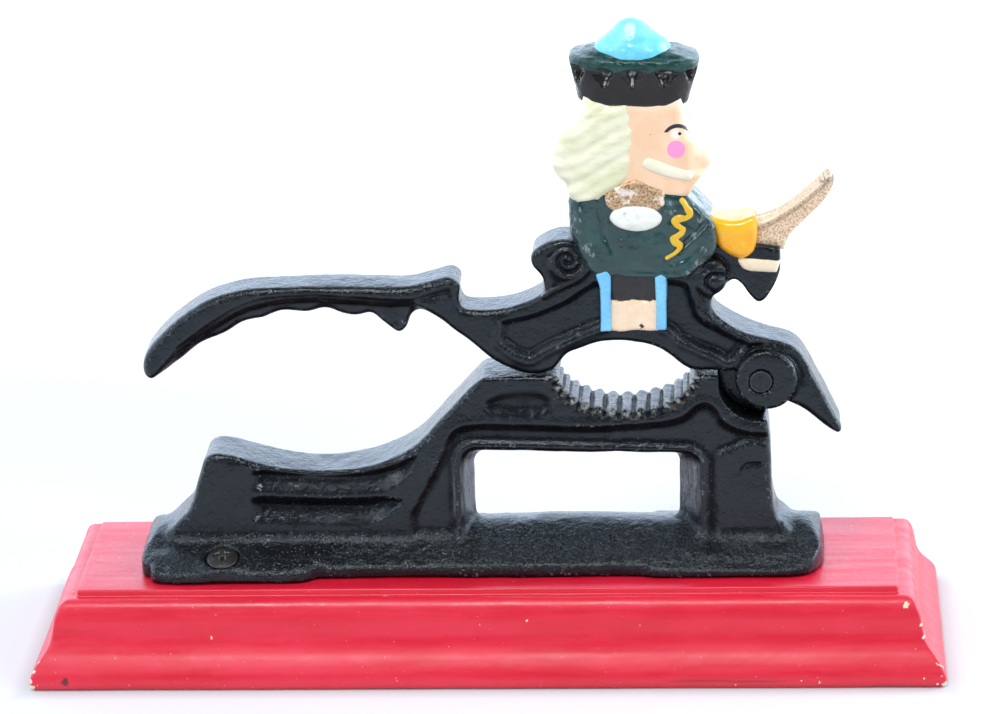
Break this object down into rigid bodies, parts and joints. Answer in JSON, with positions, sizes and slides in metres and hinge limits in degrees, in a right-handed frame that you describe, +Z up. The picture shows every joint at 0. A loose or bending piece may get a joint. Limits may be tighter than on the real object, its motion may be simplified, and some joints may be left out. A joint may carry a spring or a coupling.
{
  "type": "lever nutcracker",
  "caption": "Cast-iron lever nutcracker with a painted toy-soldier figure on its lever, on a moulded wooden board.",
  "frame": {"origin": "centre of the wooden board's underside", "axes": "+X along the board towards the hinge end, -Y towards the front with the screw pad, +Z up"},
  "size_m": [0.254, 0.0762, 0.1815],
  "materials": {
    "red_painted_wood": "satin red lacquer over a moulded softwood board",
    "black_enamel_anvil": "gloss black enamel over sand-cast iron",
    "black_enamel_lever": "gloss black enamel over sand-cast iron, with the figure hand-painted in colours",
    "pin_steel": "steel pin painted over at its ends",
    "screw_steel": "dull darkened steel"
  },
  "bodies": {
    "stand": {"wood_base": "red_painted_wood", "anvil_casting": "black_enamel_anvil", "wood_screw_front": "screw_steel", "wood_screw_rear": "screw_steel"},
    "lever": {"lever_casting": "black_enamel_lever", "pivot_pin": "pin_steel"}
  },
  "joints": [
    {"name": "lever_hinge", "type": "hinge", "parent": "stand", "child": "lever", "pos_m": [0.0768, 0, 0.0792], "axis": [0, 1, 0], "range_deg": [0, 40]}
  ]
}
